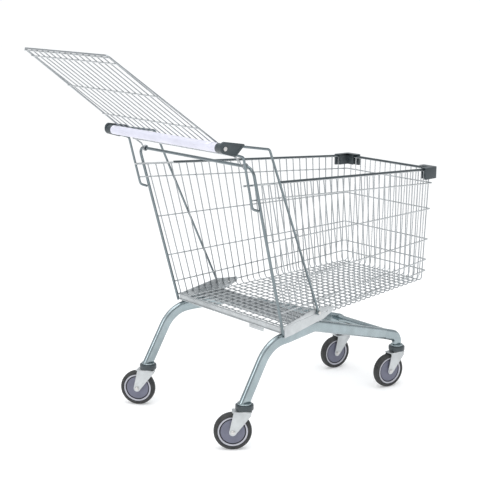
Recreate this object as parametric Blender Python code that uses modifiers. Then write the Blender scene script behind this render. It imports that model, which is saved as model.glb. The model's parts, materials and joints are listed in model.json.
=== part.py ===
"""Supermarket shopping cart with a swing-up rear gate and four swivel castors.

+X is the direction of travel, +Y the cart's left, +Z up. The wheels stand on Z = 0.
The helper at() takes X from the swivel axis of the rear castors.
"""

import math

import bmesh
import bpy
from mathutils import Matrix, Vector

REAR_X = -0.2316           # world X of the rear castor axes
MIDDLE_Y = -0.0173         # world Y of the cart's own middle: one turned castor stands out to +Y
GAP = 0.0003               # clearance between touching pieces

# Castors
WHEEL_R = 0.0625
TRAIL = 0.038
REAR_TRACK = 0.269         # half distance between the rear castor axes
FRONT_TRACK = 0.143
WHEELBASE = 0.843
HEADINGS = {"rear_right": -37.4, "rear_left": -50.9, "front_right": -8.0, "front_left": -8.0}
LEG_IN = 0.0162            # wheel centre to the inner face of a fork leg
LEG_T = 0.0025
CROWN_Z = 0.1285           # underside of the fork crown
HEAD_TOP = 0.1580
WHEEL_STEPS = 24

# Basket walls: half widths and heights at the rear and front ends
WALL_REAR_TOP = (-0.020, 0.2925, 0.8700)
WALL_FRONT_TOP = (0.921, 0.2165, 0.8180)
WALL_REAR_LOW = (0.150, 0.2765, 0.3720)
WALL_FRONT_LOW = (0.905, 0.2085, 0.4080)
MESH_T = 0.004             # lattice thickness
BAR = 0.004                # lattice bar width

# Bent rods
UPRIGHT_R = 0.005
CROSSBAR_X, CROSSBAR_Z = 0.003, 0.926
UPRIGHT_TOP_Y = 0.304
UPRIGHT_FOOT = (0.150, 0.286, 0.360)
HANDLE_ROD_R = 0.004
RAIL_R = 0.0035

# Handle: a plastic sleeve over a steel core, held in a moulded bracket at each end
HANDLE_X, HANDLE_Z = -0.1140, 0.9960
HANDLE_R = 0.0148
SLEEVE_HALF = 0.2827
CORE_R, CORE_WALL, CORE_HALF = 0.0120, 0.0020, 0.3085
COLLAR_R = 0.0153
BRACKET_INNER, BRACKET_STEP, BRACKET_OUTER = 0.2990, 0.3075, 0.3145

# Gate
GATE_ANGLE = 143.3         # above +X, in the resting position
GATE_FIRST, GATE_LAST = 0.060, 0.595
GATE_HALF_NEAR, GATE_HALF_FAR = 0.268, 0.2345
GATE_LIFT = -0.0032        # panel's offset from the hinge axis, away from the handle
EYE_Y = 0.262

# Chassis tube: flat oval section
TUBE_TALL, TUBE_WIDE = 0.040, 0.020

for old in list(bpy.data.objects):
    bpy.data.objects.remove(old, do_unlink=True)

parts = bpy.data.collections.new("shopping_cart")
cutters = bpy.data.collections.new("cutters")
bpy.context.scene.collection.children.link(parts)
bpy.context.scene.collection.children.link(cutters)
cutters.hide_render = True

FINISHES = {
    "zinc_wire": ((0.62, 0.64, 0.66, 1), 1.0, 0.30),
    "zinc_tube": ((0.66, 0.69, 0.71, 1), 1.0, 0.28),
    "zinc_sheet": ((0.58, 0.61, 0.62, 1), 1.0, 0.38),
    "dark_plastic": ((0.055, 0.070, 0.080, 1), 0.0, 0.45),
    "handle_plastic": ((0.76, 0.74, 0.84, 1), 0.0, 0.35),
    "tyre_rubber": ((0.030, 0.032, 0.034, 1), 0.0, 0.70),
    "hub_plastic": ((0.26, 0.27, 0.34, 1), 0.0, 0.50),
    "bolt_steel": ((0.70, 0.70, 0.70, 1), 1.0, 0.35),
}


def at(x, y, z):
    """World place of a point whose X is counted from the rear castor axes."""
    return Vector((x + REAR_X, y, z))


def material(name, finish):
    colour, metallic, roughness = FINISHES[finish]
    mat = bpy.data.materials.new(name + "_" + finish)
    mat.use_nodes = True
    shader = mat.node_tree.nodes["Principled BSDF"]
    shader.inputs["Base Color"].default_value = colour
    shader.inputs["Metallic"].default_value = metallic
    shader.inputs["Roughness"].default_value = roughness
    return mat


def finish(obj, name, slot):
    """Names a sub-part and gives it its own material."""
    obj.name = name
    obj.data.name = name
    obj.data.materials.clear()
    obj.data.materials.append(material(name, slot))
    parts.objects.link(obj)
    return obj


def mesh_object(name, mesh):
    return bpy.data.objects.new(name, mesh)


def solid(obj):
    """Turns an object with curves or modifiers into a welded mesh with outward normals."""
    bpy.context.scene.collection.objects.link(obj)
    bpy.context.view_layer.update()
    graph = bpy.context.evaluated_depsgraph_get()
    mesh = bpy.data.meshes.new_from_object(obj.evaluated_get(graph))
    mesh.transform(obj.matrix_world)
    bpy.data.objects.remove(obj, do_unlink=True)
    shape = bmesh.new()
    shape.from_mesh(mesh)
    bmesh.ops.remove_doubles(shape, verts=shape.verts, dist=1e-6)
    bmesh.ops.recalc_face_normals(shape, faces=shape.faces)
    shape.to_mesh(mesh)
    shape.free()
    return mesh_object("solid", mesh)


def combine(base, other, operation):
    """Exact Boolean that keeps its tool in the cutters collection."""
    cutters.objects.link(other)
    other.hide_render = True
    other.display_type = "WIRE"
    tool = base.modifiers.new(operation.lower(), "BOOLEAN")
    tool.operation = operation
    tool.solver = "EXACT"
    tool.object = other
    return base


def trim_below(obj, height):
    """Cuts off everything under a height and closes the cut faces."""
    shape = bmesh.new()
    shape.from_mesh(obj.data)
    everything = shape.verts[:] + shape.edges[:] + shape.faces[:]
    bmesh.ops.bisect_plane(shape, geom=everything, plane_co=(0, 0, height), plane_no=(0, 0, 1),
                           clear_inner=True)
    bmesh.ops.holes_fill(shape, edges=[edge for edge in shape.edges if edge.is_boundary])
    bmesh.ops.recalc_face_normals(shape, faces=shape.faces)
    shape.to_mesh(obj.data)
    shape.free()


def add(base, other):
    return combine(base, other, "UNION")


def cut(base, other):
    return combine(base, other, "DIFFERENCE")


def box(low, high):
    shape = bmesh.new()
    bmesh.ops.create_cube(shape, size=1.0)
    size = Vector(high) - Vector(low)
    middle = (Vector(high) + Vector(low)) / 2
    for vert in shape.verts:
        vert.co = Vector(a * b for a, b in zip(vert.co, size)) + middle
    mesh = bpy.data.meshes.new("box")
    shape.to_mesh(mesh)
    shape.free()
    return mesh_object("box", mesh)


def cylinder(start, end, radius, sides=16):
    """Cylinder from one point to another."""
    run = Vector(end) - Vector(start)
    shape = bmesh.new()
    bmesh.ops.create_cone(shape, cap_ends=True, segments=sides, radius1=radius, radius2=radius,
                          depth=run.length)
    turn = run.to_track_quat("Z", "Y").to_matrix().to_4x4()
    place = Matrix.Translation((Vector(start) + Vector(end)) / 2) @ turn
    bmesh.ops.transform(shape, matrix=place, verts=shape.verts)
    mesh = bpy.data.meshes.new("cylinder")
    shape.to_mesh(mesh)
    shape.free()
    return mesh_object("cylinder", mesh)


def rounded(points, radii, steps=5):
    """Corner points of a bent rod, with each inner corner turned into an arc."""
    path = [Vector(points[0])]
    for before, corner, after, radius in zip(points, points[1:], points[2:], radii):
        corner = Vector(corner)
        back = (Vector(before) - corner).normalized()
        ahead = (Vector(after) - corner).normalized()
        half = back.angle(ahead) / 2
        reach = radius / math.tan(half)
        centre = corner + (back + ahead).normalized() * radius / math.sin(half)
        first = corner + back * reach - centre
        last = corner + ahead * reach - centre
        sweep = first.angle(last)
        for i in range(steps + 1):
            t = i / steps
            blend = first * math.sin((1 - t) * sweep) + last * math.sin(t * sweep)
            path.append(centre + blend / math.sin(sweep))
    path.append(Vector(points[-1]))
    return path


def rod(path, radius, resolution=2):
    """Round bent rod along a path, with flat ends."""
    curve = bpy.data.curves.new("rod", "CURVE")
    curve.dimensions = "3D"
    spline = curve.splines.new("POLY")
    spline.points.add(len(path) - 1)
    for point, place in zip(spline.points, path):
        point.co = (*place, 1)
    curve.bevel_depth = radius
    curve.bevel_resolution = resolution
    curve.use_fill_caps = True
    return solid(bpy.data.objects.new("rod", curve))


def outline_curve(outline, depth):
    """Flat closed outline thickened by depth on both sides of its plane."""
    curve = bpy.data.curves.new("outline", "CURVE")
    curve.dimensions = "2D"
    curve.fill_mode = "BOTH"
    spline = curve.splines.new("POLY")
    spline.points.add(len(outline) - 1)
    for point, (a, b) in zip(spline.points, outline):
        point.co = (a, b, 0, 1)
    spline.use_cyclic_u = True
    curve.extrude = depth
    return bpy.data.objects.new("outline", curve)


def prism(outline, start, end):
    """Straight bar of one section. The outline is (sideways, up) round the line."""
    run = Vector(end) - Vector(start)
    forward = run.normalized()
    side = Vector((0, 0, 1)).cross(forward).normalized()
    up = forward.cross(side)
    frame = Matrix((side, up, forward)).transposed().to_4x4()
    bar = outline_curve(outline, run.length / 2)
    bar.matrix_world = Matrix.Translation((Vector(start) + Vector(end)) / 2) @ frame
    return solid(bar)


def side_plate(outline, inner, outer):
    """Plate cut to an (x, z) outline, lying between two Y planes."""
    plate = outline_curve(outline, abs(outer - inner) / 2)
    turn = Matrix.Rotation(math.radians(90), 4, "X")
    plate.matrix_world = Matrix.Translation((REAR_X, (inner + outer) / 2, 0)) @ turn
    return solid(plate)


def flat_plate(outline, low, high):
    """Plate cut to an (x, y) outline, lying between two heights."""
    plate = outline_curve(outline, (high - low) / 2)
    plate.matrix_world = Matrix.Translation((REAR_X, 0, (high + low) / 2))
    return solid(plate)


def turned(profile, steps, closed, across=True):
    """Solid of revolution from (radius, along) points; its axis is Y, or Z if not across."""
    mesh = bpy.data.meshes.new("turned")
    count = len(profile)
    edges = [(i, i + 1) for i in range(count - 1)]
    if closed:
        edges.append((count - 1, 0))
    mesh.from_pydata([(r, 0, a) for r, a in profile], edges, [])
    body = mesh_object("turned", mesh)
    screw = body.modifiers.new("screw", "SCREW")
    screw.axis = "Z"
    screw.steps = steps
    screw.render_steps = steps
    screw.use_merge_vertices = True
    screw.merge_threshold = 1e-5
    if across:
        body.matrix_world = Matrix.Rotation(math.radians(90), 4, "X")
    return solid(body)


def lattice(corners, holes_along, holes_across, bar=BAR, thickness=MESH_T):
    """Flat grille between four corners, given round the edge; bars are equally spaced."""
    a, b, c, d = (Vector(corner) for corner in corners)
    length = ((b - a).length + (c - d).length) / 2
    width = ((d - a).length + (c - b).length) / 2

    def lines(holes, size):
        pitch = (size - bar) / holes
        marks = []
        for i in range(holes + 1):
            marks += [i * pitch / size, (i * pitch + bar) / size]
        return marks

    us, vs = lines(holes_along, length), lines(holes_across, width)
    shape = bmesh.new()
    grid = []
    for u in us:
        row = []
        for v in vs:
            place = (a * (1 - u) + b * u) * (1 - v) + (d * (1 - u) + c * u) * v
            row.append(shape.verts.new(place))
        grid.append(row)
    for i in range(len(us) - 1):
        for j in range(len(vs) - 1):
            if i % 2 and j % 2:
                continue
            shape.faces.new((grid[i][j], grid[i + 1][j], grid[i + 1][j + 1], grid[i][j + 1]))
    mesh = bpy.data.meshes.new("lattice")
    shape.to_mesh(mesh)
    shape.free()
    grille = mesh_object("lattice", mesh)
    sheet = grille.modifiers.new("sheet", "SOLIDIFY")
    sheet.thickness = thickness
    sheet.offset = 0
    sheet.use_even_offset = True
    return solid(grille)


def mix(start, end, t):
    return tuple(a + (b - a) * t for a, b in zip(start, end))


def wall_y(x, low=False):
    """Half width of the basket at x, along the rim or along the floor."""
    first, last = (WALL_REAR_LOW, WALL_FRONT_LOW) if low else (WALL_REAR_TOP, WALL_FRONT_TOP)
    return mix(first, last, (x - first[0]) / (last[0] - first[0]))[1]


def rim_z(x):
    t = (x - WALL_REAR_TOP[0]) / (WALL_FRONT_TOP[0] - WALL_REAR_TOP[0])
    return mix(WALL_REAR_TOP, WALL_FRONT_TOP, t)[2]


def floor_z(x):
    t = (x - WALL_REAR_LOW[0]) / (WALL_FRONT_LOW[0] - WALL_REAR_LOW[0])
    return mix(WALL_REAR_LOW, WALL_FRONT_LOW, t)[2]


def upright_x(z):
    t = (CROSSBAR_Z - z) / (CROSSBAR_Z - UPRIGHT_FOOT[2])
    return CROSSBAR_X + (UPRIGHT_FOOT[0] - CROSSBAR_X) * t


# ---------------------------------------------------------------- chassis

def chassis_tube(side, name):
    """Flat-oval tube: leaning rear leg, level middle, sloping front and a short drop."""
    corners = [
        at(-0.0160, 0.269, 0.130), at(0.1060, 0.267, 0.336), at(0.1900, 0.264, 0.3395),
        at(0.3350, 0.236, 0.345), at(0.7750, FRONT_TRACK, 0.2105),
        at(WHEELBASE, FRONT_TRACK, 0.1895), at(WHEELBASE, FRONT_TRACK, 0.130),
    ]
    corners = [Vector((p.x, p.y * side, p.z)) for p in corners]
    path = rounded(corners, (0.120, 0.060, 0.080, 0.060, 0.036), steps=4)
    curve = bpy.data.curves.new("tube", "CURVE")
    curve.dimensions = "3D"
    curve.twist_mode = "Z_UP"
    spline = curve.splines.new("POLY")
    spline.points.add(len(path) - 1)
    for point, place in zip(spline.points, path):
        point.co = (*place, 1)
    profile = bpy.data.curves.new("oval", "CURVE")
    profile.dimensions = "2D"
    ring = profile.splines.new("POLY")
    flat, radius = (TUBE_TALL - TUBE_WIDE) / 2, TUBE_WIDE / 2
    places = []
    for end in (1, -1):
        for i in range(6):
            angle = math.radians(36 * i) if end == 1 else math.radians(180 + 36 * i)
            places.append((radius * math.cos(angle), radius * math.sin(angle) + flat * end))
    ring.points.add(len(places) - 1)
    for point, (a, b) in zip(ring.points, places):
        point.co = (a, b, 0, 1)
    ring.use_cyclic_u = True
    section = bpy.data.objects.new("oval", profile)
    curve.bevel_mode = "OBJECT"
    curve.bevel_object = section
    curve.use_fill_caps = True
    tube = solid(bpy.data.objects.new("tube", curve))
    bpy.data.objects.remove(section, do_unlink=True)
    trim_below(tube, HEAD_TOP + GAP)
    return finish(tube, name, "zinc_tube")


chassis_tube(1, "chassis_tube_left")
chassis_tube(-1, "chassis_tube_right")

CROSS_X, CROSS_Z, CROSS_R = 0.812, 0.203, 0.0125
CROSS_END = FRONT_TRACK - TUBE_WIDE / 2 - GAP
finish(cylinder(at(CROSS_X, -CROSS_END, CROSS_Z), at(CROSS_X, CROSS_END, CROSS_Z), CROSS_R, 20),
       "front_cross_tube", "zinc_tube")


def cross_plate():
    """Pressed channel across the two tubes, carrying the basket floor."""
    first, last, web = 0.232, 0.332, 0.0025
    top = [floor_z(x) - 0.0025 - 0.0006 for x in (first, last)]
    foot = 0.3658
    outline = [(first, foot), (first, top[0]), (last, top[1]), (last, foot),
               (last - web, foot), (last - web, top[1] - web), (first + web, top[0] - web),
               (first + web, foot)]
    half = wall_y(last, low=True) + 0.002
    return finish(side_plate(outline, -half, half), "cross_plate", "zinc_sheet")


cross_plate()

PLATE_T = 0.003
PLATE_FROM, PLATE_TO = 0.160, 0.400
STAY_BOLT = (0.318, 0.402)
PLATE_OUTLINE = [(0.160, 0.345), (0.200, 0.349), (0.319, 0.3690), (0.350, 0.3730), (0.400, 0.3940),
                 (0.400, 0.4100), (0.335, 0.4140), (0.318, 0.4170), (0.290, 0.4125), (0.160, 0.3850)]


def plate_line(x, offset):
    """Point on the side plate's plane, offset outwards from the basket wall."""
    return at(x, wall_y(x, low=True) + offset, 0)


def plate_normal():
    run = plate_line(PLATE_TO, 0) - plate_line(PLATE_FROM, 0)
    return Vector((-run.y, run.x, 0)).normalized()


def mirrored(obj, side):
    """The same shape on the cart's right for side -1."""
    if side < 0:
        obj.data.transform(Matrix.Scale(-1, 4, (0, 1, 0)))
        obj.data.flip_normals()
    return obj


def flipped(point, side):
    return Vector((point.x, point.y * side, point.z))


def basket_side_plate(side, name):
    """Upright plate that ties the basket floor to the chassis on one side."""
    inner = plate_line(PLATE_FROM, 0.0030)
    run = (plate_line(PLATE_TO, 0.0030) - inner).normalized()
    scale = (plate_line(PLATE_TO, 0) - plate_line(PLATE_FROM, 0)).length / (PLATE_TO - PLATE_FROM)
    outline = [((x - PLATE_FROM) * scale, z) for x, z in PLATE_OUTLINE]
    plate = outline_curve(outline, PLATE_T / 2)
    frame = Matrix((run, Vector((0, 0, 1)), run.cross(Vector((0, 0, 1))))).transposed().to_4x4()
    middle = inner + plate_normal() * PLATE_T / 2
    plate.matrix_world = Matrix.Translation(middle) @ frame
    plate = mirrored(solid(plate), side)
    centre = plate_line(STAY_BOLT[0], 0.0030) + Vector((0, 0, STAY_BOLT[1]))
    bore = cylinder(flipped(centre - plate_normal() * 0.01, side),
                    flipped(centre + plate_normal() * 0.01, side), 0.0034, 12)
    slot_at = plate_line(0.366, 0.0030) + Vector((0, 0, 0.398))
    slot = cylinder(flipped(slot_at - plate_normal() * 0.01, side),
                    flipped(slot_at + plate_normal() * 0.01, side), 0.0040, 12)
    return finish(cut(cut(plate, bore), slot), name, "zinc_sheet")


basket_side_plate(1, "side_plate_left")
basket_side_plate(-1, "side_plate_right")


def stay_bolt(side, name):
    centre = plate_line(STAY_BOLT[0], 0.0030) + Vector((0, 0, STAY_BOLT[1]))
    normal = plate_normal()
    shank = cylinder(flipped(centre + normal * 0.0004, side),
                     flipped(centre + normal * 0.0110, side), 0.0030, 12)
    head = cylinder(flipped(centre + normal * 0.0100, side),
                    flipped(centre + normal * 0.0142, side), 0.0062, 6)
    return finish(add(shank, head), name, "bolt_steel")


stay_bolt(1, "stay_bolt_left")
stay_bolt(-1, "stay_bolt_right")


def rear_floor_angle():
    """Folded angle under the rear edge of the basket floor."""
    back, low, high, web = 0.1460, 0.3620, 0.3860, 0.0025
    outline = [(back, low), (back, high), (back + web, high), (back + web, low + web),
               (0.1700, low + web), (0.1700, low)]
    half = wall_y(back, low=True) - MESH_T / 2 - 0.0012
    return finish(side_plate(outline, -half, half), "rear_floor_angle", "zinc_sheet")


rear_floor_angle()
finish(box(at(0.1460, -0.190, 0.3490), at(0.1485, -0.117, 0.3617)), "stop_plate", "zinc_sheet")


# ---------------------------------------------------------------- bent rods

def upright_frame():
    """One thick rod: up one side, across as the gate's hinge bar, down the other side."""
    foot_x, foot_y, foot_z = UPRIGHT_FOOT
    corners = [at(foot_x, -foot_y, foot_z), at(CROSSBAR_X, -UPRIGHT_TOP_Y, CROSSBAR_Z),
               at(CROSSBAR_X, UPRIGHT_TOP_Y, CROSSBAR_Z), at(foot_x, foot_y, foot_z)]
    return finish(rod(rounded(corners, (0.028, 0.028)), UPRIGHT_R), "upright_frame", "zinc_tube")


upright_frame()


HANDLE_ROD_BEND, HANDLE_ROD_END = at(-0.0365, 0.3075, 0.9625), at(-0.0850, 0.3045, 0.9780)
STAY_TOP, STAY_BEND = at(-0.0880, 0.3050, 1.0038), at(0.0700, 0.3050, 0.9770)


def handle_rod(side, name):
    """Thinner rod beside each upright, carrying the handle bracket."""
    corners = [at(0.0305, 0.3003, 0.7865), at(0.0040, 0.3020, 0.7960), HANDLE_ROD_BEND, HANDLE_ROD_END]
    corners = [flipped(p, side) for p in corners]
    return finish(rod(rounded(corners, (0.016, 0.012)), HANDLE_ROD_R), name, "zinc_tube")


handle_rod(1, "handle_rod_left")
handle_rod(-1, "handle_rod_right")


def stay(side, name):
    """Diagonal rod from the handle bracket down to the side plate, ending in an eye."""
    normal = plate_normal()
    centre = plate_line(STAY_BOLT[0], 0.0030) + Vector((0, 0, STAY_BOLT[1]))
    foot = centre + normal * (PLATE_T + 0.0054)
    corners = [STAY_TOP, STAY_BEND, foot]
    corners = [flipped(p, side) for p in corners]
    bar = rod(rounded(corners, (0.014,)), HANDLE_ROD_R)
    eye = cylinder(flipped(centre + normal * (PLATE_T + 0.0004), side),
                   flipped(centre + normal * (PLATE_T + 0.0066), side), 0.0088, 16)
    trim = cylinder(flipped(centre + normal * (PLATE_T + 0.0066), side),
                    flipped(centre + normal * (PLATE_T + 0.0166), side), 0.0100, 16)
    bore = cylinder(flipped(centre - normal * 0.01, side),
                    flipped(centre + normal * 0.03, side), 0.0034, 12)
    return finish(cut(cut(add(bar, eye), trim), bore), name, "zinc_tube")


stay(1, "stay_left")
stay(-1, "stay_right")


# ---------------------------------------------------------------- basket

def front_line(t, inset=0.0):
    """Point on the front wall: t = 0 at the floor, 1 at the rim."""
    low = (WALL_FRONT_LOW[0] + 0.0025, WALL_FRONT_LOW[2])
    top = (WALL_FRONT_TOP[0] + 0.0025, WALL_FRONT_TOP[2])
    return low[0] + (top[0] - low[0]) * t - inset, low[1] + (top[1] - low[1]) * t


def basket_side(side, name):
    top_drop = 0.0055
    rear_top_z = rim_z(0.02) - top_drop
    rear_top = at(upright_x(rear_top_z), wall_y(0.02), rear_top_z)
    rear_low = at(WALL_REAR_LOW[0], WALL_REAR_LOW[1], WALL_REAR_LOW[2] - 0.003)
    reach = front_line(0)[0] - MESH_T / 2 - 0.0012
    front_low = at(reach, wall_y(reach, low=True), floor_z(reach) - 0.003)
    reach = front_line(1)[0] - MESH_T / 2 - 0.0012
    front_top = at(reach, wall_y(reach), rim_z(reach) - top_drop)
    corners = [flipped(p, side) for p in (rear_low, front_low, front_top, rear_top)]
    return finish(lattice(corners, 13, 5), name, "zinc_wire")


basket_side(1, "basket_left")
basket_side(-1, "basket_right")


def basket_front():
    low_x, low_z = front_line(0)
    top_x, top_z = front_line(1)
    corners = [at(low_x, -WALL_FRONT_LOW[1], low_z - 0.003), at(low_x, WALL_FRONT_LOW[1], low_z - 0.003),
               at(top_x, WALL_FRONT_TOP[1], top_z - 0.0055), at(top_x, -WALL_FRONT_TOP[1], top_z - 0.0055)]
    return finish(lattice(corners, 8, 5), "basket_front", "zinc_wire")


basket_front()


def basket_floor():
    rear, front = 0.1515, front_line(0)[0] - MESH_T / 2 - 0.0015
    side_gap = MESH_T / 2 + 0.0010
    corners = [at(x, y, floor_z(x)) for x, y in (
        (rear, -wall_y(rear, low=True) + side_gap), (front, -wall_y(front, low=True) + side_gap),
        (front, wall_y(front, low=True) - side_gap), (rear, wall_y(rear, low=True) - side_gap))]
    return finish(lattice(corners, 13, 7, thickness=0.005), "basket_floor", "zinc_wire")


basket_floor()

RAIL_END = WALL_FRONT_TOP[0] - 0.0040
for side, label in ((1, "left"), (-1, "right")):
    ends = [at(x, wall_y(x) * side, rim_z(x)) for x in (-0.0240, RAIL_END)]
    finish(rod(ends, RAIL_R), "rim_rail_" + label, "zinc_wire")
FRONT_X, FRONT_Z = front_line(1)
finish(rod([at(FRONT_X, -0.2200, FRONT_Z), at(FRONT_X, 0.2200, FRONT_Z)], RAIL_R),
       "rim_rail_front", "zinc_wire")

STRIP_W, STRIP_UP, STRIP_DOWN = 0.0056, 0.0060, 0.0005
SLOT_W = RAIL_R + 0.0004
STRIP = [(-STRIP_W, -STRIP_DOWN), (-STRIP_W, STRIP_UP - 0.003), (-STRIP_W + 0.0025, STRIP_UP),
         (STRIP_W - 0.0025, STRIP_UP), (STRIP_W, STRIP_UP - 0.003), (STRIP_W, -STRIP_DOWN),
         (SLOT_W, -STRIP_DOWN), (SLOT_W, SLOT_W), (-SLOT_W, SLOT_W), (-SLOT_W, -STRIP_DOWN)]
for side, label in ((1, "left"), (-1, "right")):
    ends = [at(x, wall_y(x) * side, rim_z(x)) for x in (0.1320, FRONT_X - STRIP_W - 0.0014)]
    finish(prism(STRIP, *ends), "rim_strip_" + label, "dark_plastic")
finish(prism(STRIP, at(FRONT_X, -0.2222, FRONT_Z), at(FRONT_X, 0.2222, FRONT_Z)),
       "rim_strip_front", "dark_plastic")


def corner_bumper(side, name):
    """Block clipped over a front top corner: outer wall, top and a shorter inner flap."""
    clear, thick, flap_t, radius = STRIP_W + 0.0010, 0.0085, 0.0030, 0.012
    low, flap_low, cap, top = 0.7870, 0.7885, 0.8271, 0.8289
    back, reach, flap_back, flap_reach = 0.870, 0.163, 0.874, 0.177
    nose, turn = FRONT_X + clear, 0.2222 + 0.0006
    inside = FRONT_X - clear
    centre = (nose + thick - radius, turn + thick - radius)
    outer = [(nose + thick, reach)]
    for i in range(7):
        angle = math.radians(15 * i)
        outer.append((centre[0] + radius * math.cos(angle), centre[1] + radius * math.sin(angle)))
    outer.append((back, wall_y(back) + clear + thick))
    wall = [(back, wall_y(back) + clear), (nose, turn), (nose, reach)]
    flap = [(flap_back, wall_y(flap_back) - clear), (inside, wall_y(inside) - clear),
            (inside, flap_reach), (inside - flap_t, flap_reach),
            (inside - flap_t, wall_y(inside) - clear - flap_t),
            (flap_back, wall_y(flap_back) - clear - flap_t)]
    lip = clear + flap_t + 0.0008
    lid = [(back, wall_y(back) - lip), (FRONT_X - lip, wall_y(inside) - lip), (FRONT_X - lip, reach)]
    block = mirrored(flat_plate(wall + outer, low, top), side)
    for shape, bottom in ((lid + outer, cap), (flap, flap_low)):
        add(block, mirrored(flat_plate(shape, bottom, top), side))
    return finish(block, name, "dark_plastic")


corner_bumper(1, "corner_bumper_left")
corner_bumper(-1, "corner_bumper_right")


# ---------------------------------------------------------------- handle

def pipe(radius, wall, half):
    """Tube along the handle's axis, centred on the cart."""
    profile = [(radius - wall, -half), (radius, -half), (radius, half), (radius - wall, half)]
    tube = turned(profile, 28, closed=True)
    tube.data.transform(Matrix.Translation(at(HANDLE_X, 0, HANDLE_Z)))
    return tube


finish(pipe(HANDLE_R, HANDLE_R - CORE_R - GAP, SLEEVE_HALF), "handle_tube", "handle_plastic")
finish(pipe(CORE_R, CORE_WALL, CORE_HALF), "handle_core", "zinc_tube")


def across(radius, inner, outer, side, sides=28):
    """Cylinder round the handle's axis between two distances from the middle."""
    return cylinder(at(HANDLE_X, inner * side, HANDLE_Z), at(HANDLE_X, outer * side, HANDLE_Z),
                    radius, sides)


def handle_bracket(side, name):
    """Moulded end with a collar on the handle, a recessed face and holes for the two rods."""
    half_depth, half_height, middle_z = 0.0165, 0.0188, 0.9985
    face = []
    for degrees in range(95, 266, 19):
        angle = math.radians(degrees)
        face.append((HANDLE_X + half_depth * math.cos(angle), middle_z + half_height * math.sin(angle)))
    face += [(-0.0760, 0.9682), (-0.0705, 0.9690), (-0.0370, 1.0010), (-0.0400, 1.0045)]
    block = [(-0.1000, 0.9775), (-0.0770, 0.9700), (-0.0700, 0.9715), (-0.0400, 1.0000),
             (-0.0430, 1.0032), (-0.1000, 1.0130)]
    recess = [(-0.1020, 0.9785), (-0.0750, 0.9735), (-0.0490, 0.9990), (-0.1020, 1.0085)]
    body = mirrored(side_plate(face, BRACKET_STEP, BRACKET_OUTER), side)
    add(body, mirrored(side_plate(block, BRACKET_INNER, BRACKET_STEP + 0.0010), side))
    add(body, across(COLLAR_R, SLEEVE_HALF + GAP, BRACKET_STEP + 0.0010, side))
    cut(body, across(CORE_R + GAP, SLEEVE_HALF - 0.0100, CORE_HALF + 0.0010, side))
    cut(body, across(0.0024, CORE_HALF, BRACKET_OUTER + 0.0100, side, 12))
    cut(body, mirrored(side_plate(recess, BRACKET_OUTER - 0.0015, BRACKET_OUTER + 0.0050), side))
    for start, end in ((HANDLE_ROD_END, HANDLE_ROD_BEND), (STAY_TOP, STAY_BEND)):
        run = (end - start).normalized()
        cut(body, cylinder(flipped(start - run * 0.0008, side), flipped(start + run * 0.0800, side),
                           HANDLE_ROD_R + 0.0005))
    return finish(body, name, "dark_plastic")


def bracket_screw(side, name):
    head_from = BRACKET_OUTER + GAP
    shank = across(0.0020, CORE_HALF + 0.0025, head_from + 0.0010, side, 12)
    return finish(add(shank, across(0.0068, head_from, head_from + 0.0026, side, 20)), name, "bolt_steel")


for side, label in ((1, "left"), (-1, "right")):
    handle_bracket(side, "handle_bracket_" + label)
    bracket_screw(side, "bracket_screw_" + label)


# ---------------------------------------------------------------- gate

def gate():
    """Wire panel that swings on the crossbar; its own X runs away from the hinge."""
    corners = [(GATE_FIRST, -GATE_HALF_NEAR, GATE_LIFT), (GATE_LAST, -GATE_HALF_FAR, GATE_LIFT),
               (GATE_LAST, GATE_HALF_FAR, GATE_LIFT), (GATE_FIRST, GATE_HALF_NEAR, GATE_LIFT)]
    panel = lattice(corners, 5, 9)
    for side in (1, -1):
        low, high = sorted((side * (EYE_Y - 0.0025), side * (EYE_Y + 0.0031)))
        add(panel, box((0.0040, low, GATE_LIFT - 0.0018), (GATE_FIRST + 0.0030, high, GATE_LIFT + 0.0018)))
        add(panel, cylinder((0, side * (EYE_Y - 0.0036), 0), (0, side * (EYE_Y + 0.0036), 0), 0.0092, 16))
    for side in (1, -1):
        cut(panel, cylinder((0, side * (EYE_Y - 0.010), 0), (0, side * (EYE_Y + 0.010), 0),
                            UPRIGHT_R + 0.0002, 16))
    finish(panel, "gate", "zinc_wire")
    turn = Matrix.Rotation(-math.radians(GATE_ANGLE), 4, "Y")
    place = Matrix.Translation(at(CROSSBAR_X, 0, CROSSBAR_Z)) @ turn
    panel.matrix_world = place
    for tool in panel.modifiers:
        tool.object.matrix_world = place
    return panel


gate()


# ---------------------------------------------------------------- castors

def castor_head():
    """Kingpin and flange under the end of a chassis tube."""
    profile = [(0, 0.1215), (0.0095, 0.1215), (0.0095, CROWN_Z - GAP), (0.0060, CROWN_Z - GAP),
               (0.0060, 0.1338), (0.0195, 0.1338), (0.0195, 0.1525), (0.0235, 0.1528),
               (0.0235, HEAD_TOP - 0.0010), (0.0225, HEAD_TOP), (0, HEAD_TOP)]
    return turned(profile, 16, closed=False, across=False)


def castor_collar():
    profile = [(0.0200, 0.1345), (0.0285, 0.1345), (0.0300, 0.1365), (0.0300, 0.1505),
               (0.0285, 0.1522), (0.0200, 0.1522)]
    return turned(profile, 20, closed=True, across=False)


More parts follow.
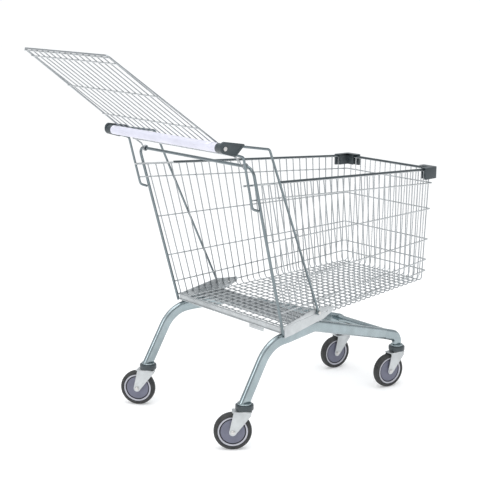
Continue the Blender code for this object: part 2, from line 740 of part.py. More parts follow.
def castor_fork():
    """Bent sheet fork: crown, two tapering legs and a raised bearing cup."""
    outline = [(-0.0350, 0.1308), (0.0210, 0.1308), (0.0210, 0.1180)]
    for degrees in range(-40, -201, -20):
        angle = math.radians(degrees)
        outline.append((-TRAIL + 0.012 * math.cos(angle), WHEEL_R + 0.012 * math.sin(angle)))
    crown = box((-0.0400, -LEG_IN - LEG_T + 0.0002, CROWN_Z), (0.0240, LEG_IN + LEG_T - 0.0002, 0.1310))
    for side in (1, -1):
        leg = side_plate(outline, side * LEG_IN, side * (LEG_IN + LEG_T))
        leg.data.transform(Matrix.Translation((-REAR_X, 0, 0)))
        add(crown, leg)
    add(crown, cylinder((0, 0, 0.1300), (0, 0, 0.1335), 0.0190, 20))
    cut(crown, cylinder((0, 0, 0.12), (0, 0, 0.14), 0.0062, 16))
    cut(crown, cylinder((-TRAIL, -0.03, WHEEL_R), (-TRAIL, 0.03, WHEEL_R), 0.0045, 12))
    return crown


def axle_bolt():
    edge = LEG_IN + LEG_T
    profile = [(0, -edge - 0.0048), (0.0050, -edge - 0.0044), (0.0075, -edge - 0.0022),
               (0.0075, -edge - GAP), (0.0042, -edge - GAP), (0.0042, edge + GAP),
               (0.0078, edge + GAP), (0.0078, edge + 0.0052), (0, edge + 0.0052)]
    return turned([(r, -a) for r, a in profile], 12, closed=False)


def wheel_hub():
    half = [(0.0043, 0.0154), (0.0120, 0.0154), (0.0130, 0.0105), (0.0400, 0.0090),
            (0.0435, 0.0115), (0.0492, 0.0120)]
    return turned([(r, -a) for r, a in half] + half[::-1], WHEEL_STEPS, closed=True)


def tyre():
    half = [(0.0495, 0.0122), (0.0525, 0.0138), (0.0580, 0.0128), (0.0615, 0.0090), (WHEEL_R, 0.0045)]
    return turned([(r, -a) for r, a in half] + half[::-1], WHEEL_STEPS, closed=True)


def castor(label, x, y):
    """One castor: the head stays with the chassis, the fork turns on it, the wheel rolls."""
    heading = Matrix.Rotation(math.radians(HEADINGS[label]), 4, "Z")
    swivel = Matrix.Translation(at(x, y, 0)) @ heading
    axle = swivel @ Matrix.Translation((-TRAIL, 0, WHEEL_R))
    for piece, name, slot, place in (
            (castor_head(), "castor_head_", "zinc_tube", swivel),
            (castor_collar(), "castor_collar_", "dark_plastic", swivel),
            (castor_fork(), "castor_fork_", "zinc_sheet", swivel),
            (axle_bolt(), "axle_bolt_", "bolt_steel", axle),
            (wheel_hub(), "wheel_hub_", "hub_plastic", axle),
            (tyre(), "tyre_", "tyre_rubber", axle)):
        finish(piece, name + label, slot)
        piece.matrix_world = place
        for tool in piece.modifiers:
            tool.object.matrix_world = place


for label, x, y in (("rear_right", 0, -REAR_TRACK), ("rear_left", 0, REAR_TRACK),
                    ("front_right", WHEELBASE, -FRONT_TRACK), ("front_left", WHEELBASE, FRONT_TRACK)):
    castor(label, x, y)

for obj in [*parts.objects, *cutters.objects]:
    obj.matrix_world = Matrix.Translation((0, MIDDLE_Y, 0)) @ obj.matrix_world
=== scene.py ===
"""Looks for the shopping cart: full-density wire basket and gate, tubes, wheels and finishes.

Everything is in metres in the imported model's frame: +X is the direction of travel, +Y the
cart's left, +Z up. The helper at() counts X from the swivel axes of the rear castors, and Y
from the cart's middle plane.
"""

import json
import math

import bmesh
import bpy
from mathutils import Matrix, Vector

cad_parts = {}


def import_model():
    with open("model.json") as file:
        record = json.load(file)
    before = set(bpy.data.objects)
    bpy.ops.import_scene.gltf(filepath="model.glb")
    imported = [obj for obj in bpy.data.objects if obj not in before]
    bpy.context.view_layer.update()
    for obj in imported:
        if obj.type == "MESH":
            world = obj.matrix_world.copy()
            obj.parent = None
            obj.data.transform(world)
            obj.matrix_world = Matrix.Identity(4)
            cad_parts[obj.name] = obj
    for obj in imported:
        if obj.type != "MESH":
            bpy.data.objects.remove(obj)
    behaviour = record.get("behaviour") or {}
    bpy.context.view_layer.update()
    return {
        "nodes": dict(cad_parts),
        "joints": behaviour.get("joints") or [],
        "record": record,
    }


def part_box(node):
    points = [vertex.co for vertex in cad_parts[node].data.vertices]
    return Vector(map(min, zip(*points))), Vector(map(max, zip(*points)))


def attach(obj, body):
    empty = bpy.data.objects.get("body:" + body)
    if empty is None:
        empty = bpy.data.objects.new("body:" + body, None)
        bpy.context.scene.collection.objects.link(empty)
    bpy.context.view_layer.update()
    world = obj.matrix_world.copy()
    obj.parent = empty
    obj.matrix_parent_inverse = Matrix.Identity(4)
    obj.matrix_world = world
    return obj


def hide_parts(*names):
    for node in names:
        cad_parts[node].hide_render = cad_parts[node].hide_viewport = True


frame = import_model()
joints = {joint["name"]: joint for joint in frame["joints"]}
REAR_X = joints["swivel_rear_right"]["pos_m"][0]
MIDDLE_Y = (joints["swivel_rear_right"]["pos_m"][1] + joints["swivel_rear_left"]["pos_m"][1]) / 2
HINGE = Vector(joints["gate_hinge"]["pos_m"])
SHARP_ANGLE = 40           # degrees; sharper edges stay sharp or get rounded over
CASTORS = ("rear_right", "rear_left", "front_right", "front_left")
SIDES = ((1, "left"), (-1, "right"))

# Basket: (x, half width, z) at the ends of the rim and of the floor, as in the solids
RIM_REAR = (-0.020, 0.2925, 0.8700)
RIM_FRONT = (0.921, 0.2165, 0.8180)
FLOOR_REAR = (0.150, 0.2765, 0.3720)
FLOOR_FRONT = (0.905, 0.2085, 0.4080)
RIM_AT_UPRIGHT = 0.0175    # where the rim passes the upright
SIDE_WIRES = 29
FRONT_WIRES = 16
RIM_WIRE_ENDS = (-0.00425, 0.9957)     # shares of the rim covered by its side wires
WIRE_R = 0.0020
RING_R = 0.0023
LADDER_R = 0.0024
CORNER_R = 0.016           # bend of the wires between walls and floor
RING_CORNER_R = 0.007      # bend of the level wires round the front corners
RINGS = ((0.905, 0.880), (0.613, 0.649), (0.321, 0.373), (0.120, 0.188), (0.022, 0.088))
                           # heights of the level wires at the rear and front, floor 0, rim 1
TOP_RING = 0.8             # rings above this height run on past the upright
TOP_RING_END = (-0.030, 0.0025, 0.0015)
FIRST_SIDE_WIRE, SIDE_WIRE_SPAN = 0.010, 0.975
FRONT_WIRE_SPAN = 1.80     # of the half width
TURN_DOWN = 0.007          # ends of the floor wires below the floor

# Bent rods and tubes, as in the solids
CROSSBAR_X, CROSSBAR_Z, CROSSBAR_HALF = 0.003, 0.926, 0.304
UPRIGHT_FOOT = (0.150, 0.286, 0.360)
UPRIGHT_R = 0.005
ROD_R = 0.004
RAIL_R = 0.0035
TUBE_TALL, TUBE_WIDE = 0.040, 0.020
TUBE_END = 0.1583          # the castor head's top, plus a gap
FRONT_TRACK, WHEELBASE = 0.143, 0.843
HANDLE_ROD = ((0.0305, 0.3003, 0.7865), (0.0040, 0.3020, 0.7960), (-0.0365, 0.3075, 0.9625),
              (-0.0850, 0.3045, 0.9780))

# Gate
GATE_ANGLE = 143.3
GATE_CROSS = (0.062, 0.219, 0.389, 0.556, 0.5865)
GATE_LAST = 0.5925
GATE_HALF_NEAR, GATE_HALF_FAR = 0.2655, 0.2320
GATE_WIRES = 15            # between the frame's sides
GATE_PITCH = 0.0325
GATE_LIFT = -0.0032        # the panel's offset from the hinge axis
GATE_FRAME_R, GATE_LONG_R, GATE_CROSS_R = 0.0027, 0.0016, 0.0020
GATE_CORNER_R = 0.010
GATE_OVERHANG = 0.003      # wire ends past the wire they are welded to
WELD = 0.0004              # depth that welded wires sink into each other
EYE_Y = 0.262
EYE_START, EYE_END, EYE_STEPS = -595, 58, 34   # degrees round the hinge bar
EYE_PITCH = 0.0105         # from the first turn to the arm
EYE_GAP = 0.0004           # between the eye and the hinge bar
ARM_BEND, ARM_SPREAD = 0.026, 0.0010


def at(x, y, z):
    """Place of a point counted from the rear castor axes and the cart's middle plane."""
    return Vector((x + REAR_X, y + MIDDLE_Y, z))


def on_side(points, side):
    """Places of points given for the left side (1), or mirrored to the right side (-1)."""
    return [at(x, y * side, z) for x, y, z in points]


def mix(start, end, t):
    return tuple(a + (b - a) * t for a, b in zip(start, end))


def rounded(points, radii, steps=8):
    """A bent rod's line: each inner corner becomes an arc of the given radius."""
    path = [Vector(points[0])]
    for before, corner, after, radius in zip(points, points[1:], points[2:], radii):
        corner = Vector(corner)
        back = (Vector(before) - corner).normalized()
        ahead = (Vector(after) - corner).normalized()
        half = back.angle(ahead) / 2
        reach = radius / math.tan(half)
        centre = corner + (back + ahead).normalized() * radius / math.sin(half)
        first = corner + back * reach - centre
        last = corner + ahead * reach - centre
        sweep = first.angle(last)
        for i in range(steps + 1):
            t = i / steps
            arc = first * math.sin((1 - t) * sweep) + last * math.sin(t * sweep)
            path.append(centre + arc / math.sin(sweep))
    path.append(Vector(points[-1]))
    return path


# ---------------------------------------------------------------- materials

class Finish:
    """A Principled material with helpers for procedural detail in object space."""

    def __init__(self, name, metallic=0.0):
        self.mat = bpy.data.materials.new(name)
        self.mat.use_nodes = True
        self.tree = self.mat.node_tree
        self.shader = self.tree.nodes["Principled BSDF"]
        self.shader.inputs["Metallic"].default_value = metallic
        self.coords = self.tree.nodes.new("ShaderNodeTexCoord").outputs["Object"]

    def node(self, kind, **values):
        made = self.tree.nodes.new(kind)
        for key, value in values.items():
            setattr(made, key, value)
        return made

    def noise(self, scale, detail=4.0, roughness=0.55, stretch=None):
        """Noise in object space; stretch squeezes it along an axis."""
        source = self.coords
        if stretch:
            mapping = self.node("ShaderNodeMapping")
            mapping.inputs["Scale"].default_value = stretch
            self.tree.links.new(source, mapping.inputs["Vector"])
            source = mapping.outputs["Vector"]
        texture = self.node("ShaderNodeTexNoise")
        texture.inputs["Scale"].default_value = scale
        texture.inputs["Detail"].default_value = detail
        texture.inputs["Roughness"].default_value = roughness
        self.tree.links.new(source, texture.inputs["Vector"])
        return texture.outputs["Fac"]

    def cells(self, scale):
        texture = self.node("ShaderNodeTexVoronoi")
        texture.inputs["Scale"].default_value = scale
        self.tree.links.new(self.coords, texture.inputs["Vector"])
        return texture.outputs["Color"]

    def ramp(self, value, stops, constant=False):
        """Colour ramp from (position, colour) stops."""
        holder = self.node("ShaderNodeValToRGB")
        ramp = holder.color_ramp
        if constant:
            ramp.interpolation = "CONSTANT"
        while len(ramp.elements) < len(stops):
            ramp.elements.new(0.5)
        for element, (position, colour) in zip(ramp.elements, stops):
            element.position = position
            element.color = (*colour, 1)
        self.tree.links.new(value, holder.inputs["Fac"])
        return holder.outputs["Color"]

    def spread(self, value, low, high):
        """Maps a 0..1 value onto a range."""
        scale = self.node("ShaderNodeMapRange")
        scale.inputs["From Min"].default_value = 0.25
        scale.inputs["From Max"].default_value = 0.75
        scale.inputs["To Min"].default_value = low
        scale.inputs["To Max"].default_value = high
        self.tree.links.new(value, scale.inputs["Value"])
        return scale.outputs["Result"]

    def blend(self, factor, first, second):
        mixer = self.node("ShaderNodeMix", data_type="RGBA")
        self.tree.links.new(factor, mixer.inputs["Factor"])
        self.tree.links.new(first, mixer.inputs["A"])
        self.tree.links.new(second, mixer.inputs["B"])
        return mixer.outputs["Result"]

    def set(self, socket, value):
        self.tree.links.new(value, self.shader.inputs[socket])

    def bump(self, height, strength, distance):
        bump = self.node("ShaderNodeBump")
        bump.inputs["Strength"].default_value = strength
        bump.inputs["Distance"].default_value = distance
        self.tree.links.new(height, bump.inputs["Height"])
        self.set("Normal", bump.outputs["Normal"])


def shades(colour, *factors):
    return [tuple(min(1.0, c * f) for c in colour) for f in factors]


def plated(name, colour, low, high, grain, cells=0.0):
    """Bright zinc plating: cloudy tone, uneven gloss, faint spangle and handling marks."""
    finish = Finish(name, metallic=1.0)
    cloud = finish.noise(18, detail=6)
    dark, light = shades(colour, 0.86, 1.08)
    tone = finish.ramp(cloud, [(0.30, dark), (0.70, light)])
    if cells:
        spangle = finish.ramp(finish.cells(cells), [(0.2, shades(colour, 0.90)[0]), (0.8, light)])
        tone = finish.blend(finish.spread(finish.noise(9), 0.15, 0.45), tone, spangle)
    finish.set("Base Color", tone)
    finish.set("Roughness", finish.spread(finish.noise(70, detail=5, roughness=0.65), low, high))
    finish.bump(finish.noise(grain, detail=3), 0.18, 0.0004)
    return finish.mat


def moulded(name, colour, low, high, grain, strength=0.25, worn=1.25):
    """Moulded plastic: fine grain, slightly faded patches and uneven sheen."""
    finish = Finish(name)
    dark, light = shades(colour, 0.88, worn)
    finish.set("Base Color", finish.ramp(finish.noise(14, detail=8), [(0.35, dark), (0.72, light)]))
    finish.set("Roughness", finish.spread(finish.noise(45, detail=6), low, high))
    finish.bump(finish.noise(grain, detail=2), strength, 0.0003)
    return finish.mat


def rubber():
    """Tyre rubber: near black with paler worn patches."""
    finish = Finish("tyre_rubber")
    finish.set("Base Color", finish.ramp(finish.noise(60, detail=8), [
        (0.35, (0.016, 0.017, 0.018)), (0.75, (0.050, 0.050, 0.050))]))
    finish.set("Roughness", finish.spread(finish.noise(90, detail=5), 0.50, 0.72))
    finish.bump(finish.noise(600, detail=3), 0.30, 0.0004)
    return finish.mat


def wheel_centre():
    """Blue-grey moulded disc and a pale outer ring, by radius, with painted shade in the groove
    between them.
    """
    finish = Finish("wheel_centre")
    split = finish.node("ShaderNodeSeparateXYZ")
    finish.tree.links.new(finish.coords, split.inputs["Vector"])
    flat = finish.node("ShaderNodeCombineXYZ")
    finish.tree.links.new(split.outputs["X"], flat.inputs["X"])
    finish.tree.links.new(split.outputs["Z"], flat.inputs["Z"])
    length = finish.node("ShaderNodeVectorMath", operation="LENGTH")
    finish.tree.links.new(flat.outputs["Vector"], length.inputs[0])
    tenfold = finish.node("ShaderNodeMath", operation="MULTIPLY")
    tenfold.inputs[1].default_value = 10.0
    finish.tree.links.new(length.outputs["Value"], tenfold.inputs[0])
    # The near-black band from 0.0402 to 0.0436 m radius is painted shade in the groove, not the
    # plastic's own colour.
    zones_and_groove_shade = finish.ramp(tenfold.outputs["Value"], [
        (0.0, (0.165, 0.170, 0.230)), (0.402, (0.016, 0.018, 0.024)), (0.436, (0.56, 0.56, 0.62))],
        constant=True)
    worn = finish.ramp(finish.noise(30, detail=8), [(0.3, (0.82, 0.82, 0.82)), (0.7, (1.0, 1.0, 1.0))])
    tinted = finish.node("ShaderNodeMix", data_type="RGBA", blend_type="MULTIPLY")
    tinted.inputs["Factor"].default_value = 1.0
    finish.tree.links.new(zones_and_groove_shade, tinted.inputs["A"])
    finish.tree.links.new(worn, tinted.inputs["B"])
    finish.set("Base Color", tinted.outputs["Result"])
    finish.set("Roughness", finish.spread(finish.noise(50, detail=5), 0.38, 0.55))
    finish.bump(finish.noise(700, detail=2), 0.20, 0.0003)
    return finish.mat


WIRE = plated("zinc_wire", (0.37, 0.39, 0.405), 0.20, 0.34, 500)
# A lighter copy of the zinc wire plating: painted light for the floor, level, rim, ladder and gate
# cross wires, as if they caught more of the top lights.
WIRE_PAINTED_LIT = plated("zinc_wire_painted_lit", (0.60, 0.62, 0.63), 0.18, 0.32, 500)
ROD = plated("zinc_rod", (0.20, 0.235, 0.25), 0.14, 0.26, 420)
TUBE = plated("zinc_tube", (0.34, 0.40, 0.42), 0.16, 0.28, 300)
SHEET = plated("zinc_sheet", (0.60, 0.62, 0.63), 0.46, 0.60, 160, cells=90)
BOLT = plated("bolt_steel", (0.64, 0.63, 0.62), 0.24, 0.42, 600)
DARK = moulded("dark_plastic", (0.040, 0.053, 0.060), 0.28, 0.42, 900)
GRIP = moulded("handle_plastic", (0.73, 0.73, 0.84), 0.28, 0.42, 700, strength=0.12, worn=1.04)
RUBBER = rubber()
CENTRE = wheel_centre()


# ---------------------------------------------------------------- making pieces

def place(obj, body, material, nodes=()):
    """Puts a finished piece on its body and hides the CAD nodes it stands for."""
    if obj.name not in bpy.context.scene.collection.objects:
        bpy.context.scene.collection.objects.link(obj)
    obj.data.materials.clear()
    obj.data.materials.append(material)
    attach(obj, body)
    if nodes:
        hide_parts(*nodes)
    return obj


def wires(name, paths, radius, closed=False, sides=3):
    """Round wires along several lines, as one curve piece."""
    curve = bpy.data.curves.new(name, "CURVE")
    curve.dimensions = "3D"
    for path in paths:
        spline = curve.splines.new("POLY")
        spline.points.add(len(path) - 1)
        for point, spot in zip(spline.points, path):
            point.co = (*spot, 1)
        spline.use_cyclic_u = closed
        spline.use_smooth = True
    curve.bevel_depth = radius
    curve.bevel_resolution = sides
    curve.use_fill_caps = True
    return bpy.data.objects.new(name, curve)


def evaluated(obj, name):
    """A plain mesh object from one with modifiers or curves, welded, in its own space."""
    bpy.context.scene.collection.objects.link(obj)
    bpy.context.view_layer.update()
    graph = bpy.context.evaluated_depsgraph_get()
    mesh = bpy.data.meshes.new_from_object(obj.evaluated_get(graph))
    bpy.data.objects.remove(obj, do_unlink=True)
    shape = bmesh.new()
    shape.from_mesh(mesh)
    bmesh.ops.remove_doubles(shape, verts=shape.verts, dist=1e-6)
    bmesh.ops.recalc_face_normals(shape, faces=shape.faces)
    shape.to_mesh(mesh)
    shape.free()
    mesh.name = name
    return bpy.data.objects.new(name, mesh)


def smooth(obj):
    obj.data.shade_smooth()
    obj.data.set_sharp_from_angle(angle=math.radians(SHARP_ANGLE))
    return obj


def turned(name, profile, steps=96):
    """Closed ring turned about its own Y axis from (radius, along) points."""
    mesh = bpy.data.meshes.new(name)
    count = len(profile)
    edges = [(i, (i + 1) % count) for i in range(count)]
    mesh.from_pydata([(r, 0, a) for r, a in profile], edges, [])
    body = bpy.data.objects.new(name, mesh)
    screw = body.modifiers.new("screw", "SCREW")
    screw.steps = steps
    screw.render_steps = steps
    screw.use_merge_vertices = True
    screw.merge_threshold = 1e-5
    ring = evaluated(body, name)
    ring.data.transform(Matrix.Rotation(math.radians(90), 4, "X"))
    return smooth(ring)


def softened(node, name, radius, material):
    """The CAD node's own shape with its sharp edges rounded."""
    source = frame["nodes"][node]
    body = frame_body(node)
    copy = bpy.data.objects.new(name, source.data.copy())
    shape = bmesh.new()
    shape.from_mesh(copy.data)
    bmesh.ops.remove_doubles(shape, verts=shape.verts, dist=1e-6)
    bmesh.ops.dissolve_limit(shape, angle_limit=math.radians(1), verts=shape.verts, edges=shape.edges)
    shape.to_mesh(copy.data)
    shape.free()
    bevel = copy.modifiers.new("edges", "BEVEL")
    bevel.width = radius
    bevel.segments = 3
    bevel.limit_method = "ANGLE"
    bevel.angle_limit = math.radians(SHARP_ANGLE)
    return place(smooth(evaluated(copy, name)), body, material, (node,))


def across(node):
    """Ends of the level line through the middle of a CAD node, from the right to the left."""
    low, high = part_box(node)
    middle = (low + high) / 2
    return [Vector((middle.x, low.y, middle.z)), Vector((middle.x, high.y, middle.z))]


def frame_body(node):
    """The CAD body that a node belongs to."""
    for body, members in frame["record"]["behaviour"]["bodies"].items():
        if node in members:
            return body
    return None


# ---------------------------------------------------------------- basket

def rim(t):
    """Point on the left rim, from the upright (0) to the front (1)."""
    start = mix(RIM_REAR, RIM_FRONT, (RIM_AT_UPRIGHT - RIM_REAR[0]) / (RIM_FRONT[0] - RIM_REAR[0]))
    return mix(start, RIM_FRONT, t)


def wall(t, v, out=0.0):
    """Point on the left wall: t along it, v from the floor (0) up to the rim (1)."""
    x, y, z = mix(mix(FLOOR_REAR, FLOOR_FRONT, t), rim(t), v)
    return x, y + out, z


def side_wires():
    """Wires that run down one wall, across under the floor and up the other wall."""
    paths = []
    for i in range(SIDE_WIRES):
        t = FIRST_SIDE_WIRE + SIDE_WIRE_SPAN * i / (SIDE_WIRES - 1)
        top, low = wall(t, 0.997), wall(t, 0.0)
        line = [at(top[0], -top[1], top[2]), at(low[0], -low[1], low[2]),
                at(low[0], low[1], low[2]), at(*top)]
        paths.append(rounded(line, (CORNER_R, CORNER_R)))
    return paths


def long_wires():
    """Wires that run along the floor, turned down at the rear and up the front wall."""
    lift = 2 * WIRE_R
    paths = []
    for i in range(FRONT_WIRES):
        share = -FRONT_WIRE_SPAN / 2 + FRONT_WIRE_SPAN * i / (FRONT_WIRES - 1)
        rear_y = FLOOR_REAR[1] * share
        line = [at(FLOOR_REAR[0] - 0.001, rear_y, FLOOR_REAR[2] - TURN_DOWN),
                at(FLOOR_REAR[0] - 0.001, rear_y, FLOOR_REAR[2] + lift + 0.0005),
                at(FLOOR_FRONT[0], FLOOR_FRONT[1] * share, FLOOR_FRONT[2] + lift),
                at(RIM_FRONT[0], RIM_FRONT[1] * share, RIM_FRONT[2])]
        paths.append(rounded(line, (0.004, CORNER_R)))
    return paths


def ring_wires():
    """Level wires round the outside of the side and front walls."""
    paths = []
    for rear_v, front_v in RINGS:
        out = WIRE_R + RING_R
        rear = wall(0.0, rear_v, out)
        if rear_v > TOP_RING:
            rear = tuple(a + b for a, b in zip(rear, TOP_RING_END))
        front = wall(1.0, front_v, out)
        nose = front[0] + out
        line = [at(rear[0], -rear[1], rear[2]), at(nose, -front[1], front[2]),
                at(nose, front[1], front[2]), at(*rear)]
        paths.append(rounded(line, (RING_CORNER_R, RING_CORNER_R)))
    return paths


def floor_ladder():
    """Two cross wires that the turned-down ends of the floor wires are welded to."""
    back = FLOOR_REAR[0] - 0.001 - WIRE_R - RING_R
    half = FLOOR_REAR[1] - 0.004
    levels = (FLOOR_REAR[2] + 0.0105, FLOOR_REAR[2] - TURN_DOWN)
    return [[at(back, -half, z), at(back, half, z)] for z in levels]


def basket():
    place(wires("basket_side_wires", side_wires(), WIRE_R), "cart", WIRE,
          ("basket_left", "basket_right"))
    place(wires("basket_long_wires", long_wires(), WIRE_R), "cart", WIRE_PAINTED_LIT,
          ("basket_floor", "basket_front"))
    place(wires("basket_ring_wires", ring_wires(), RING_R), "cart", WIRE_PAINTED_LIT)
    place(wires("basket_rear_ladder", floor_ladder(), LADDER_R), "cart", WIRE_PAINTED_LIT)
    along = [mix(RIM_REAR, RIM_FRONT, t) for t in RIM_WIRE_ENDS]
    for node, ends in (("rim_rail_left", on_side(along, 1)), ("rim_rail_right", on_side(along, -1)),
                       ("rim_rail_front", across("rim_rail_front"))):
        place(wires(node + "_wire", [ends], RAIL_R, sides=5), "cart", WIRE_PAINTED_LIT, (node,))


# ---------------------------------------------------------------- gate

def gate():
    """Wire gate, made flat in its own plane and then turned about the hinge bar."""
    turn = Matrix.Translation(HINGE) @ Matrix.Rotation(-math.radians(GATE_ANGLE), 4, "Y")

    def half(u):
        return GATE_HALF_NEAR + (GATE_HALF_FAR - GATE_HALF_NEAR) * (u - GATE_CROSS[0]) / (
            GATE_LAST - GATE_CROSS[0])

    loop_r = UPRIGHT_R + EYE_GAP + GATE_FRAME_R
    arms = []
    for side in (-1, 1):
        arm = []
        for i in range(EYE_STEPS):
            part = i / EYE_STEPS
            angle = math.radians(EYE_START + (EYE_END - EYE_START) * part)
            y = side * (EYE_Y + EYE_PITCH * (1 - part))
            arm.append(Vector((loop_r * math.cos(angle), y, loop_r * math.sin(angle))))
        arm.append(Vector((ARM_BEND, side * (EYE_Y + ARM_SPREAD), GATE_LIFT)))
        arm.append(Vector((GATE_CROSS[0], side * half(GATE_CROSS[0]), GATE_LIFT)))
        arms.append(arm)
    corners = [arms[0][-1], Vector((GATE_LAST, -half(GATE_LAST), GATE_LIFT)),
               Vector((GATE_LAST, half(GATE_LAST), GATE_LIFT)), arms[1][-1]]
    outer = arms[0][:-1] + rounded(corners, (GATE_CORNER_R, GATE_CORNER_R)) + arms[1][:-1][::-1]
    inner = []
    for i in range(GATE_WIRES):
        y = GATE_PITCH * (i - (GATE_WIRES - 1) / 2)
        inner.append([Vector((GATE_CROSS[0] - GATE_OVERHANG, y, GATE_LIFT)),
                      Vector((GATE_LAST, y, GATE_LIFT))])
    lift = GATE_LIFT + GATE_LONG_R + GATE_CROSS_R - WELD
    cross = []
    for u in GATE_CROSS:
        reach = half(u) + GATE_OVERHANG
        cross.append([Vector((u, -reach, lift)), Vector((u, reach, lift))])

    def world(paths):
        return [[turn @ point for point in path] for path in paths]

    place(wires("gate_frame_wire", world([outer]), GATE_FRAME_R, sides=4), "gate", WIRE,
          ("gate",))
    place(wires("gate_long_wires", world(inner), GATE_LONG_R), "gate", WIRE)
    place(wires("gate_cross_wires", world(cross), GATE_CROSS_R), "gate", WIRE_PAINTED_LIT)


# ---------------------------------------------------------------- rods and tubes

def bent_rods():
    foot_x, foot_y, foot_z = UPRIGHT_FOOT
    corners = [at(foot_x, -foot_y, foot_z), at(CROSSBAR_X, -CROSSBAR_HALF, CROSSBAR_Z),
               at(CROSSBAR_X, CROSSBAR_HALF, CROSSBAR_Z), at(foot_x, foot_y, foot_z)]
    place(wires("upright_frame_rod", [rounded(corners, (0.028, 0.028))], UPRIGHT_R, sides=6),
          "cart", ROD, ("upright_frame",))
    for side, label in SIDES:
        line = rounded(on_side(HANDLE_ROD, side), (0.016, 0.012))
        place(wires("handle_rod_bar_" + label, [line], ROD_R, sides=6), "cart", ROD,
              ("handle_rod_" + label,))


def chassis_tube(side, label):
    """Flat-oval tube with a leaning rear leg, a level middle and a sloping front."""
    corners = [(-0.0160, 0.269, 0.130), (0.1060, 0.267, 0.336), (0.1900, 0.264, 0.3395),
               (0.3350, 0.236, 0.345), (0.7750, FRONT_TRACK, 0.2105),
               (WHEELBASE, FRONT_TRACK, 0.1895), (WHEELBASE, FRONT_TRACK, 0.130)]
    path = rounded(on_side(corners, side), (0.120, 0.060, 0.080, 0.060, 0.036), steps=14)
    tube = wires("chassis_tube_" + label + "_bent", [path], 0.0)
    profile = bpy.data.curves.new("oval", "CURVE")
    profile.dimensions = "2D"
    ring = profile.splines.new("POLY")
    flat, radius = (TUBE_TALL - TUBE_WIDE) / 2, TUBE_WIDE / 2
    places = []
    for start, shift in ((0, flat), (180, -flat)):
        for i in range(13):
            angle = math.radians(start + 15 * i)
            places.append((radius * math.cos(angle), radius * math.sin(angle) + shift))
    ring.points.add(len(places) - 1)
    for point, (a, b) in zip(ring.points, places):
        point.co = (a, b, 0, 1)
    ring.use_cyclic_u = True
    section = bpy.data.objects.new("oval", profile)
    tube.data.twist_mode = "Z_UP"
    tube.data.bevel_mode = "OBJECT"
    tube.data.bevel_object = section
    solid = evaluated(tube, "chassis_tube_" + label + "_bent")
    bpy.data.objects.remove(section, do_unlink=True)
    shape = bmesh.new()
    shape.from_mesh(solid.data)
    everything = shape.verts[:] + shape.edges[:] + shape.faces[:]
    bmesh.ops.bisect_plane(shape, geom=everything, plane_co=(0, 0, TUBE_END), plane_no=(0, 0, 1),
                           clear_inner=True)
    bmesh.ops.holes_fill(shape, edges=[edge for edge in shape.edges if edge.is_boundary])
    shape.to_mesh(solid.data)
    shape.free()
    place(smooth(solid), "cart", TUBE, ("chassis_tube_" + label,))


def chassis():
    for side, label in SIDES:
        chassis_tube(side, label)
    low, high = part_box("front_cross_tube")
    bar = wires("front_cross_tube_bar", [across("front_cross_tube")], (high.z - low.z) / 2, sides=8)
    place(bar, "cart", TUBE, ("front_cross_tube",))


def handle():
    """Smooth grip sleeve and the steel core inside it."""
    for node, thick, lip, material, slot in (("handle_tube", 0.0025, 0.0006, GRIP, "handle_plastic"),
                                             ("handle_core", 0.0020, 0.0004, TUBE, "zinc_tube")):
        low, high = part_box(node)
        radius, half = (high.z - low.z) / 2, (high.y - low.y) / 2
        profile = [(radius - thick, -half), (radius - lip, -half), (radius, -half + lip),
                   (radius, half - lip), (radius - lip, half), (radius - thick, half)]
        tube = turned(node + "_turned", profile, 64)
        tube.matrix_world = Matrix.Translation((low + high) / 2)
        place(tube, "cart", material, (node,))


# ---------------------------------------------------------------- castors

def mirrored_profile(half):
    return [(r, -a) for r, a in half] + half[::-1]


def tyre_profile():
    """Rounded tread and bulged sides, from the inner bead to the tread's middle."""
    half = [(0.0495, 0.0118), (0.0503, 0.0126), (0.0518, 0.0133), (0.0540, 0.0138), (0.0562, 0.0136),
            (0.0583, 0.0127), (0.0602, 0.0110), (0.0615, 0.0088), (0.0622, 0.0062), (0.0625, 0.0030)]
    return mirrored_profile(half)


def centre_profile():
    """Boss, dished disc, groove and raised outer ring."""
    half = [(0.0043, 0.0150), (0.0110, 0.0153), (0.0122, 0.0146), (0.0128, 0.0112), (0.0145, 0.0104),
            (0.0300, 0.0096), (0.0385, 0.0098), (0.0398, 0.0094), (0.0403, 0.0078), (0.0408, 0.0062),
            (0.0432, 0.0062), (0.0437, 0.0078), (0.0440, 0.0110), (0.0448, 0.0119), (0.0478, 0.0120),
            (0.0488, 0.0116), (0.0492, 0.0108)]
    return mirrored_profile(half)


def castor(label):
    joint = joints["roll_" + label]
    axis = Vector(joint["axis"])
    turn = Matrix.Rotation(math.atan2(-axis.x, axis.y), 4, "Z")
    axle = Matrix.Translation(Vector(joint["pos_m"])) @ turn
    for name, profile, material, slot, node in (
            ("tyre_ring_", tyre_profile(), RUBBER, "tyre_rubber", "tyre_"),
            ("wheel_centre_", centre_profile(), CENTRE, "hub_plastic", "wheel_hub_")):
        piece = turned(name + label, profile)
        piece.matrix_world = axle
        place(piece, "wheel_" + label, material, (node + label,))
    softened("castor_fork_" + label, "fork_sheet_" + label, 0.0007, SHEET)
    softened("castor_head_" + label, "head_flange_" + label, 0.0008, TUBE)
    softened("castor_collar_" + label, "dust_collar_" + label, 0.0010, DARK)
    softened("axle_bolt_" + label, "axle_bolt_head_" + label, 0.0005, BOLT)


# ---------------------------------------------------------------- small parts

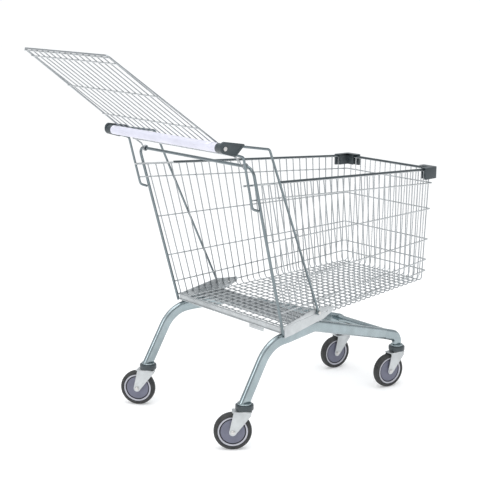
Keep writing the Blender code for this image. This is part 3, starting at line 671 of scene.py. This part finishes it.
def fittings():
    for _, label in SIDES:
        softened("side_plate_" + label, "side_plate_sheet_" + label, 0.0006, SHEET)
        softened("stay_" + label, "stay_bar_" + label, 0.0012, ROD)
        softened("stay_bolt_" + label, "stay_bolt_head_" + label, 0.0005, BOLT)
        softened("handle_bracket_" + label, "bracket_shell_" + label, 0.0010, DARK)
        softened("bracket_screw_" + label, "bracket_screw_head_" + label, 0.0006, BOLT)
        softened("rim_strip_" + label, "rim_strip_cover_" + label, 0.0008, DARK)
        softened("corner_bumper_" + label, "bumper_block_" + label, 0.0008, DARK)
    softened("rim_strip_front", "rim_strip_cover_front", 0.0008, DARK)
    softened("cross_plate", "cross_plate_sheet", 0.0007, SHEET)
    softened("rear_floor_angle", "rear_floor_angle_sheet", 0.0007, SHEET)
    softened("stop_plate", "stop_plate_sheet", 0.0006, SHEET)


# ---------------------------------------------------------------- studio

CAMERA_AT = (-2.339, -3.091, 1.500)      # x from the rear castor axes
CAMERA_TURN, CAMERA_DIP = -39.43, 12.40  # degrees right of +Y, degrees down
LENS, SENSOR = 90.0, 36.0
FLOOR_HALF = 200
FLOOR_GLOW = 0.26                        # keeps the floor near white under soft light
SKY = [(0.0, (0.95, 0.95, 0.95)), (0.12, (0.78, 0.79, 0.80)), (0.32, (0.42, 0.45, 0.47)),
       (0.50, (0.80, 0.82, 0.84)), (1.0, (1.0, 1.0, 1.0))]    # by the height of the direction


def camera():
    data = bpy.data.cameras.new("camera")
    data.lens = LENS
    data.sensor_width = SENSOR
    data.clip_end = 100
    eye = bpy.data.objects.new("camera", data)
    eye.rotation_euler = (math.radians(90 - CAMERA_DIP), 0, math.radians(CAMERA_TURN))
    eye.location = at(*CAMERA_AT)
    bpy.context.scene.collection.objects.link(eye)
    bpy.context.scene.camera = eye


def area_light(name, spot, target, size, power):
    data = bpy.data.lights.new(name, "AREA")
    data.shape = "RECTANGLE"
    data.size, data.size_y = size
    data.energy = power
    light = bpy.data.objects.new(name, data)
    light.location = spot
    light.rotation_euler = (Vector(target) - Vector(spot)).to_track_quat("-Z", "Y").to_euler()
    bpy.context.scene.collection.objects.link(light)


def studio():
    """Pale seamless floor under a bright sky with one dimmer band."""
    shape = bmesh.new()
    bmesh.ops.create_grid(shape, x_segments=2, y_segments=2, size=FLOOR_HALF)
    mesh = bpy.data.meshes.new("floor")
    shape.to_mesh(mesh)
    shape.free()
    floor = bpy.data.objects.new("floor", mesh)
    finish = Finish("studio_floor")
    finish.set("Base Color", finish.ramp(finish.noise(0.8, detail=3), [
        (0.3, (0.88, 0.88, 0.88)), (0.7, (0.92, 0.92, 0.92))]))
    finish.shader.inputs["Specular IOR Level"].default_value = 0.0
    finish.shader.inputs["Roughness"].default_value = 0.9
    finish.shader.inputs["Emission Color"].default_value = (1, 1, 1, 1)
    finish.shader.inputs["Emission Strength"].default_value = FLOOR_GLOW
    floor.data.materials.append(finish.mat)
    bpy.context.scene.collection.objects.link(floor)
    area_light("top_softbox", (-0.4, -0.4, 3.4), (0, 0, 0.4), (3.0, 2.4), 40)
    area_light("rear_softbox", (-3.4, -1.2, 2.6), (0, 0, 0.6), (1.6, 2.0), 28)
    world = bpy.data.worlds.new("studio")
    world.use_nodes = True
    tree = world.node_tree
    direction = tree.nodes.new("ShaderNodeTexCoord").outputs["Generated"]
    split = tree.nodes.new("ShaderNodeSeparateXYZ")
    tree.links.new(direction, split.inputs["Vector"])
    holder = tree.nodes.new("ShaderNodeValToRGB")
    while len(holder.color_ramp.elements) < len(SKY):
        holder.color_ramp.elements.new(0.5)
    for element, (position, colour) in zip(holder.color_ramp.elements, SKY):
        element.position = position
        element.color = (*colour, 1)
    tree.links.new(split.outputs["Z"], holder.inputs["Fac"])
    sky = tree.nodes["Background"]
    tree.links.new(holder.outputs["Color"], sky.inputs["Color"])
    sky.inputs["Strength"].default_value = 1.0
    bpy.context.scene.world = world
    bpy.context.scene.view_settings.view_transform = "Standard"


basket()
gate()
bent_rods()
chassis()
handle()
for castor_label in CASTORS:
    castor(castor_label)
fittings()
camera()
studio()
